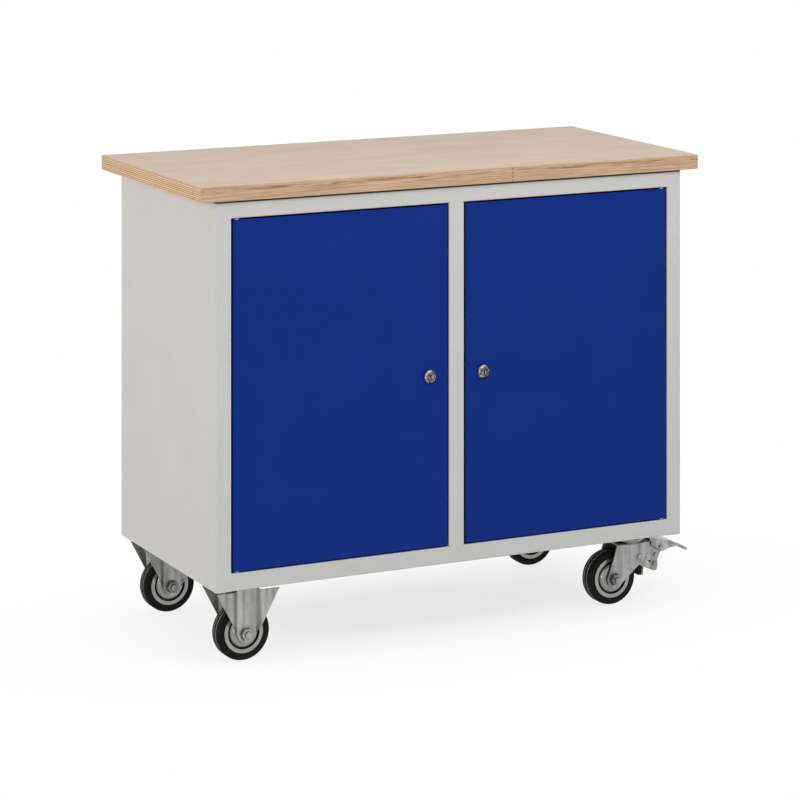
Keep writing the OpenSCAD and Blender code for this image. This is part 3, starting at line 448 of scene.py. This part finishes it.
PLIES = 15
PLY_WANDER = 0.7  # from the waves' lowest to their highest, in plies
SEAM = (0.36, 0.5)  # the glue line's span, in plies from a ply's middle
SIDE_SPAN = (0.55, 0.85)  # of the normal's share in an axis, from not facing it to facing it
SCARF_X = TOP_MIDDLE.x + 0.1097  # where the board's outer plies are scarfed together
SCARF_SPAN = (0.0016, 0.0008)  # half width of the scarf's line, in metres
SCARF_EVERY, SCARF_PLIES = 4.0, 1.5  # it shows where a ply's number modulo one is below the other
DARK_PLIES = 0.72 * PLIES  # level of the dark plies in the front edge
DARK_SPAN = (1.8, 0.6)  # in plies from that level
SCARF_SHARE, SCARF_BROWN = 0.8, srgb(104, 70, 48)
FACE_PALE, FACE_TAN = srgb(213, 193, 173), srgb(201, 178, 154)
FACE_FIBRE = srgb(194, 168, 142)
FACE_PORE_SHARE, FACE_PORE = 0.22, srgb(160, 130, 102)
EDGE_PALE, EDGE_BROWN = srgb(219, 187, 156), srgb(176, 136, 102)
EDGE_STREAK, EDGE_POCKET = srgb(142, 102, 72), srgb(116, 78, 54)
ODD_PLY_SHARE, EDGE_ODD_PLY = 0.18, srgb(222, 192, 160)
END_LIGHT = (srgb(236, 216, 184), srgb(218, 190, 148))
END_DARK = (srgb(194, 156, 112), srgb(174, 134, 90))
END_FLECK = srgb(152, 112, 76)
SEAM_SHARE, SEAM_BROWN = 0.4, srgb(140, 104, 74)
SEAM_RELIEF, FIBRE_RELIEF = -0.5, 0.4  # heights, in parts of the relief's depth
WOOD_RELIEF = {"depth": 0.0004, "strength": 0.35}


def wood_face(s, fibre):
    """Long soft figure along X, with fibres and pores."""
    figure = s.noise(2.6, detail=5.0, stretch=(1.0, 2.8, 1.0), distortion=2.6)
    pores = s.noise(240.0, stretch=(0.25, 5.0, 1.0))
    face = s.mix(s.ramp(figure, (0.34, 0.68)), FACE_PALE, FACE_TAN)
    face = s.mix(s.ramp(fibre, (0.35, 0.7), out=(0.0, 0.3)), face, FACE_FIBRE)
    return s.mix(s.times(s.ramp(pores, (0.6, 0.72)), FACE_PORE_SHARE), face, FACE_PORE)


def wood_edge(s, x, depth, ply, odd):
    """Front and back edge: browner, with long streaks, darker pockets and the scarf's line."""
    broad = s.noise(9.0, detail=6.0, stretch=(1.0, 1.0, 95.0), distortion=0.3, roughness=0.62)
    thin = s.noise(30.0, detail=5.0, stretch=(1.0, 1.0, 55.0), distortion=0.2)
    pocket = s.noise(22.0, detail=4.0, stretch=(1.0, 1.0, 16.0), distortion=0.3)
    edge = s.mix(s.ramp(broad, (0.38, 0.62)), EDGE_PALE, EDGE_BROWN)
    edge = s.mix(s.ramp(thin, (0.52, 0.68), out=(0.0, 0.75)), edge, EDGE_STREAK)
    edge = s.mix(s.times(odd, ODD_PLY_SHARE), edge, EDGE_ODD_PLY)
    dark_plies = s.ramp(s.off(depth, DARK_PLIES), DARK_SPAN)
    pockets = s.times(dark_plies, s.ramp(pocket, (0.48, 0.58), out=(0.0, 0.8)))
    edge = s.mix(pockets, edge, EDGE_POCKET)
    scarf = s.ramp(s.off(x, SCARF_X), SCARF_SPAN)
    scarfed = s.math("LESS_THAN", s.math("MODULO", ply, SCARF_EVERY), SCARF_PLIES)
    return s.mix(s.times(s.times(scarf, scarfed), SCARF_SHARE), edge, SCARF_BROWN)


def wood_end(s, ply, odd):
    """Ends: clear plies, every second one darker."""
    shade = s.add("ShaderNodeTexWhiteNoise", {"W": ply}, noise_dimensions="1D")["Value"]
    light_ply, dark_ply = (s.mix(shade, *pair) for pair in (END_LIGHT, END_DARK))
    end = s.mix(s.ramp(odd, (0.4, 0.6)), light_ply, dark_ply)
    flecks = s.noise(60.0, detail=4.0, stretch=(1.0, 1.6, 30.0))
    return s.mix(s.ramp(flecks, (0.5, 0.72), out=(0.0, 0.6)), end, END_FLECK)


def multiplex(name):
    """Birch multiplex: calm flat-cut grain on the faces, plies on the ends and along the edges.

    The plies lie in Z. Every second one runs along X: it shows long grain on the front and back
    edge and end grain on the ends, and its neighbours show the reverse.
    """
    s = Shader(name, Roughness=0.48, Specular_IOR_Level=0.35)
    x, _, z = s.split(s.place)
    depth = s.ramp(z, (TOP_LOW.z, TOP_HIGH.z), out=(0.0, PLIES))
    wave = s.noise(5.0, detail=2.0, stretch=(1, 1, 0.2))
    level = s.math("ADD", depth, s.math("MULTIPLY_ADD", wave, PLY_WANDER, -PLY_WANDER / 2))
    ply = s.math("FLOOR", level)
    odd = s.math("MODULO", ply, 2.0)
    seam = s.ramp(s.off(s.math("FRACT", level), 0.5), SEAM)
    fibre = s.noise(55.0, detail=4.0, stretch=(0.35, 9.0, 1.0))

    normal = s.split(s.normal())
    on_face, on_end = (
        s.ramp(s.math("ABSOLUTE", normal[axis]), SIDE_SPAN) for axis in ("Z", "X")
    )
    rim = s.mix(on_end, wood_edge(s, x, depth, ply, odd), wood_end(s, ply, odd))
    rim = s.mix(s.times(seam, SEAM_SHARE), rim, SEAM_BROWN)
    s.set("Base Color", s.mix(on_face, rim, wood_face(s, fibre)))
    s.set("Roughness", s.ramp(on_face, UNIT, out=(0.62, 0.46)))
    relief = s.math("MULTIPLY_ADD", seam, SEAM_RELIEF, s.times(fibre, FIBRE_RELIEF))
    s.bump(relief, **WOOD_RELIEF)
    return s.material


# ---------------------------------------------------------------- finishes on the nodes

GREY = srgb(203, 203, 201)
BLUE = (0.003, 0.026, 0.222)
ZINC = (0.41, 0.41, 0.397)
RIM_ZINC = (0.33, 0.33, 0.315)
RUBBER = (0.005, 0.005, 0.005)

FINISHES = {
    "multiplex": multiplex("multiplex_wood"),
    "body_paint": powder_coat("grey_powder_coat", GREY, roughness=0.42, cast=0.03, gloss=0.3),
    "door_paint": powder_coat("blue_powder_coat", BLUE, roughness=0.45, cast=0.08, gloss=0.09),
    "zinc_plate": zinc_plate("bright_zinc", ZINC, roughness=0.3),
    "bright_chrome": chrome_plate("polished_chrome", LOCKS),
    "black_rubber": pad_rubber("pad_rubber"),
    "white_nylon": nylon("white_nylon"),
}


def wheel_finishes():
    """The tyres' and rims' own materials, because their marks lie round each wheel's axle."""
    own = {}
    for (kind, end), centre in WHEELS.items():
        tyre, rim = (f"{name}_{kind}_{end}" for name in ("tyre_rubber", "turned_rim"))
        own[f"{kind}_tyre_{end}"] = tyre_rubber(tyre, RUBBER, centre, roughness=0.62)
        own[f"{kind}_rim_{end}"] = turned_rim(rim, RIM_ZINC, centre)
    return own


def dress_nodes():
    """Gives each node of the model its wheel's material, or else its slot's."""
    own = wheel_finishes()
    for row in frame["record"]["subparts"]:
        mesh = frame["nodes"][row["node"]].data
        mesh.materials.clear()
        mesh.materials.append(own.get(row["node"]) or FINISHES[row["material_slot"]])


dress_nodes()

# ---------------------------------------------------------------- studio

FLOOR_HALF = 30.0  # half its side
FLOOR_CELLS = 8
WHITE = (1.0, 1.0, 1.0)
FLOOR_GLOW = 0.70  # share of plain white in the floor near the cabinet; the rest takes the shadow
SHADOW_REACH = (0.90, 0.45)  # half length and half depth of the ground that takes the shadow
SHADOW_EDGE = (0.25, 1.05)  # in parts of that reach: where the share starts rising and where it's 1
WORLD_STRENGTH = 0.42
WARM = (1.0, 0.94, 0.88)

# Even light from a wide part of the sky, from the place towards the origin
SUNS = (  # name, place, strength, width in degrees, colour
    ("overhead", (0.3, 0.2, 3.0), 0.42, 70, WHITE),
    ("front", (1.2, -3.0, 1.8), 0.15, 60, WHITE),
    ("left", (-3.0, 0.0, 0.8), 0.08, 60, WARM),
)
SOFTBOXES = (  # name, place, target, width and height, power, colour
    ("left_softbox", (-2.0, 0.0, 1.25), (-0.51, 0, 0.7), (1.2, 0.8), 9.8, WARM),
    ("back_softbox", (0.3, 2.2, 0.5), (0, 0.24, 0.5), (1.6, 0.6), 14, WHITE),
    ("low_fill", (-1.5, -1.7, 0.12), (-0.42, -0.15, 0.07), (0.6, 0.2), 1.8, WHITE),
    ("softbox", (0.2, -1.5, 1.9), (0.15, -0.3, 0.75), (1.6, 0.6), 14, WHITE),
)


def white_share(nodes):
    """FLOOR_GLOW close to the cabinet, rising to 1 outside the ground its shadow falls on."""
    inputs = {0: nodes.add("ShaderNodeTexCoord")["Object"], 1: (*SHADOW_REACH, 1.0)}
    scaled = nodes.add("ShaderNodeVectorMath", inputs, operation="DIVIDE")["Vector"]
    distance = nodes.add("ShaderNodeVectorMath", {0: scaled}, operation="LENGTH")["Value"]
    return nodes.ramp(distance, SHADOW_EDGE, out=(FLOOR_GLOW, 1.0))


def seen_directly(nodes, share):
    """share for camera, glossy and transmission rays, 0 for all others."""
    paths = nodes.add("ShaderNodeLightPath")
    seen = paths["Is Camera Ray"]
    for ray in ("Is Glossy Ray", "Is Transmission Ray"):
        seen = nodes.math("MAXIMUM", seen, paths[ray])
    return nodes.times(seen, share)


def mixed_to_white(nodes, plain, kind, share):
    """Shows white of strength 1 over the plain shader, in the given share."""
    white = nodes.add(kind, {"Color": WHITE, "Strength": 1.0})
    inputs = {0: seen_directly(nodes, share), 1: plain[0], 2: white[0]}
    return nodes.add("ShaderNodeMixShader", inputs)[0]


def make_floor():
    mesh = bpy.data.meshes.new("studio_floor")
    bm = bmesh.new()
    bmesh.ops.create_grid(bm, x_segments=FLOOR_CELLS, y_segments=FLOOR_CELLS, size=FLOOR_HALF)
    bm.to_mesh(mesh)
    bm.free()
    floor = bpy.data.objects.new("studio_floor", mesh)
    bpy.context.scene.collection.objects.link(floor)
    material = bpy.data.materials.new("studio_floor")
    material.use_nodes = True
    material.node_tree.nodes.clear()
    nodes = Nodes(material.node_tree)
    plain = nodes.add("ShaderNodeBsdfDiffuse", {"Color": WHITE})
    surface = mixed_to_white(nodes, plain, "ShaderNodeEmission", white_share(nodes))
    nodes.add("ShaderNodeOutputMaterial", {"Surface": surface})
    mesh.materials.append(material)


def make_world():
    world = bpy.data.worlds.new("studio")
    bpy.context.scene.world = world
    world.use_nodes = True
    world.node_tree.nodes.clear()
    nodes = Nodes(world.node_tree)
    plain = nodes.add("ShaderNodeBackground", {"Color": WHITE, "Strength": WORLD_STRENGTH})
    surface = mixed_to_white(nodes, plain, "ShaderNodeBackground", 1.0)
    nodes.add("ShaderNodeOutputWorld", {"Surface": surface})


def add_light(data, place, target, colour):
    data.color = colour
    light = bpy.data.objects.new(data.name, data)
    light.location = place
    direction = Vector(target) - Vector(place)
    light.rotation_euler = direction.to_track_quat("-Z", "Y").to_euler()
    bpy.context.scene.collection.objects.link(light)


def make_lights():
    for name, place, strength, width, colour in SUNS:
        data = bpy.data.lights.new(name, "SUN")
        data.energy = strength
        data.angle = math.radians(width)
        add_light(data, place, (0, 0, 0), colour)
    for name, place, target, size, power, colour in SOFTBOXES:
        data = bpy.data.lights.new(name, "AREA")
        data.shape = "RECTANGLE"
        data.size, data.size_y = size
        data.energy = power
        add_light(data, place, target, colour)


make_floor()
make_world()
make_lights()
bpy.context.scene.view_settings.view_transform = "Standard"
